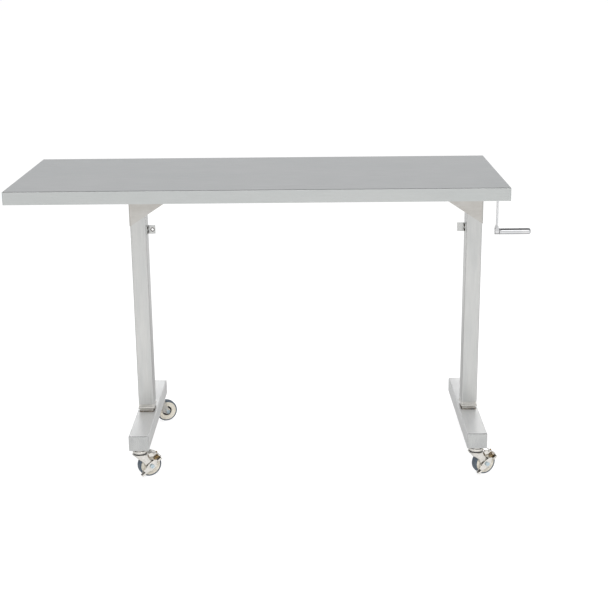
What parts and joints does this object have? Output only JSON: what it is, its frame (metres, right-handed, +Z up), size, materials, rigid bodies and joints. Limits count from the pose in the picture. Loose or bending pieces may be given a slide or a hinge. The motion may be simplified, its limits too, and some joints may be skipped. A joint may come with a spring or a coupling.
{
  "type": "instrument table",
  "caption": "Stainless instrument table with a folded work surface, two telescopic columns lifted by a hand crank, and swivel casters under each foot.",
  "frame": {"origin": "on the floor, under the middle of the whole object's box, grip of the crank counted in", "axes": "+X along the work surface towards the crank, +Y to the rear, +Z up"},
  "size_m": [1.6484, 0.61, 0.95],
  "materials": {
    "brushed_stainless": "number 4 brushed stainless sheet and tube",
    "drawn_stainless": "drawn stainless tube, finely ground lengthways",
    "formed_steel": "mill-finish stainless, folded and cut",
    "zinc_fastener": "bright blue-passivated zinc plating",
    "cast_aluminium": "die cast, tumbled",
    "painted_barrel": "semi-gloss black enamel",
    "hard_chrome": "polished chrome plating",
    "bright_steel": "turned and plated",
    "brass_line": "drawn tube, slightly dulled",
    "black_nylon": "moulded, fine texture",
    "white_nylon": "machined, slightly greased",
    "nickel_plate": "pressed steel, nickel plated",
    "brake_shoe": "pressed steel, yellow passivated and dulled",
    "cream_nylon": "moulded, satin",
    "grey_rubber": "moulded non-marking rubber"
  },
  "bodies": {
    "left_base": {"left_foot": "brushed_stainless", "left_foot_caps": "brushed_stainless", "left_inner_column": "drawn_stainless", "left_glide": "white_nylon", "left_piston_rod": "hard_chrome", "left_caster_stems": "nickel_plate"},
    "right_base": {"right_foot": "brushed_stainless", "right_foot_caps": "brushed_stainless", "right_inner_column": "drawn_stainless", "right_glide": "white_nylon", "right_piston_rod": "hard_chrome", "right_caster_stems": "nickel_plate"},
    "table_frame": {"table_top": "brushed_stainless", "front_channel": "formed_steel", "rear_channel": "formed_steel", "left_mount_plate": "formed_steel", "right_mount_plate": "formed_steel", "mount_bolts": "zinc_fastener", "left_outer_column": "brushed_stainless", "right_outer_column": "brushed_stainless", "left_gusset": "brushed_stainless", "right_gusset": "brushed_stainless", "left_bracket": "drawn_stainless", "right_bracket": "drawn_stainless", "bracket_screws": "zinc_fastener", "left_collar": "drawn_stainless", "right_collar": "drawn_stainless", "left_cylinder": "painted_barrel", "right_cylinder": "painted_barrel", "pump_housing": "cast_aluminium", "shaft_hanger": "formed_steel", "left_fluid_line": "brass_line", "right_fluid_line": "brass_line", "line_clips": "black_nylon"},
    "crank": {"crank_shaft": "bright_steel", "crank_arm": "hard_chrome", "crank_screw": "bright_steel", "grip_pin": "bright_steel"},
    "grip": {"crank_grip": "hard_chrome"},
    "front_left_caster": {"front_left_fork": "nickel_plate", "front_left_axle": "zinc_fastener"},
    "front_left_rolling": {"front_left_wheel": "cream_nylon", "front_left_tyre": "grey_rubber"},
    "front_left_lever": {"front_left_brake": "nickel_plate"},
    "front_left_brake_shoe": {"front_left_shoe": "brake_shoe"},
    "front_right_caster": {"front_right_fork": "nickel_plate", "front_right_axle": "zinc_fastener"},
    "front_right_rolling": {"front_right_wheel": "cream_nylon", "front_right_tyre": "grey_rubber"},
    "front_right_lever": {"front_right_brake": "nickel_plate"},
    "front_right_brake_shoe": {"front_right_shoe": "brake_shoe"},
    "rear_left_caster": {"rear_left_fork": "nickel_plate", "rear_left_axle": "zinc_fastener"},
    "rear_left_rolling": {"rear_left_wheel": "cream_nylon", "rear_left_tyre": "grey_rubber"},
    "rear_right_caster": {"rear_right_fork": "nickel_plate", "rear_right_axle": "zinc_fastener"},
    "rear_right_rolling": {"rear_right_wheel": "cream_nylon", "rear_right_tyre": "grey_rubber"}
  },
  "joints": [
    {"name": "lift", "type": "slide", "parent": "left_base", "child": "table_frame", "axis": [0, 0, 1], "range_m": [0, 0.3]},
    {"name": "right_lift", "type": "slide", "parent": "table_frame", "child": "right_base", "axis": [0, 0, -1], "range_m": [0, 0.3]},
    {"name": "crank_turn", "type": "hinge", "parent": "table_frame", "child": "crank", "pos_m": [0.71385, 0.035, 0.89], "axis": [1, 0, 0], "range_deg": [0, 18000]},
    {"name": "grip_spin", "type": "hinge", "parent": "crank", "child": "grip", "pos_m": [0.72115, 0.035, 0.741], "axis": [1, 0, 0], "continuous": true},
    {"name": "front_left_swivel", "type": "hinge", "parent": "left_base", "child": "front_left_caster", "pos_m": [-0.45615, -0.246, 0.09], "axis": [0, 0, 1], "continuous": true},
    {"name": "front_left_roll", "type": "hinge", "parent": "front_left_caster", "child": "front_left_rolling", "pos_m": [-0.43017, -0.231, 0.038], "axis": [-0.5, 0.866, 0], "continuous": true},
    {"name": "front_left_lock", "type": "hinge", "parent": "front_left_caster", "child": "front_left_lever", "pos_m": [-0.43017, -0.231, 0.038], "axis": [-0.5, 0.866, 0], "range_deg": [0, 14]},
    {"name": "front_left_shoe_press", "type": "slide", "parent": "front_left_caster", "child": "front_left_brake_shoe", "axis": [-0.509, -0.2939, -0.809], "range_m": [0, 0.0007]},
    {"name": "front_right_swivel", "type": "hinge", "parent": "right_base", "child": "front_right_caster", "pos_m": [0.62685, -0.246, 0.09], "axis": [0, 0, 1], "continuous": true},
    {"name": "front_right_roll", "type": "hinge", "parent": "front_right_caster", "child": "front_right_rolling", "pos_m": [0.65381, -0.23285, 0.038], "axis": [-0.4384, 0.8988, 0], "continuous": true},
    {"name": "front_right_lock", "type": "hinge", "parent": "front_right_caster", "child": "front_right_lever", "pos_m": [0.65381, -0.23285, 0.038], "axis": [-0.4384, 0.8988, 0], "range_deg": [0, 14]},
    {"name": "front_right_shoe_press", "type": "slide", "parent": "front_right_caster", "child": "front_right_brake_shoe", "axis": [-0.5283, -0.2577, -0.809], "range_m": [0, 0.0007]},
    {"name": "rear_left_swivel", "type": "hinge", "parent": "left_base", "child": "rear_left_caster", "pos_m": [-0.45615, 0.246, 0.09], "axis": [0, 0, 1], "continuous": true},
    {"name": "rear_left_roll", "type": "hinge", "parent": "rear_left_caster", "child": "rear_left_rolling", "pos_m": [-0.42896, 0.25868, 0.038], "axis": [-0.4226, 0.9063, 0], "continuous": true},
    {"name": "rear_right_swivel", "type": "hinge", "parent": "right_base", "child": "rear_right_caster", "pos_m": [0.62685, 0.246, 0.09], "axis": [0, 0, 1], "continuous": true},
    {"name": "rear_right_roll", "type": "hinge", "parent": "rear_right_caster", "child": "rear_right_rolling", "pos_m": [0.65674, 0.24862, 0.038], "axis": [-0.0872, 0.9962, 0], "continuous": true}
  ],
  "couplings": [
    {"joint": "lift", "follows": "crank_turn", "m_per_rad": 0.00095493},
    {"joint": "right_lift", "follows": "crank_turn", "m_per_rad": 0.00095493},
    {"joint": "front_left_shoe_press", "follows": "front_left_lock", "m_per_rad": 0.0028648},
    {"joint": "front_right_shoe_press", "follows": "front_right_lock", "m_per_rad": 0.0028648}
  ]
}
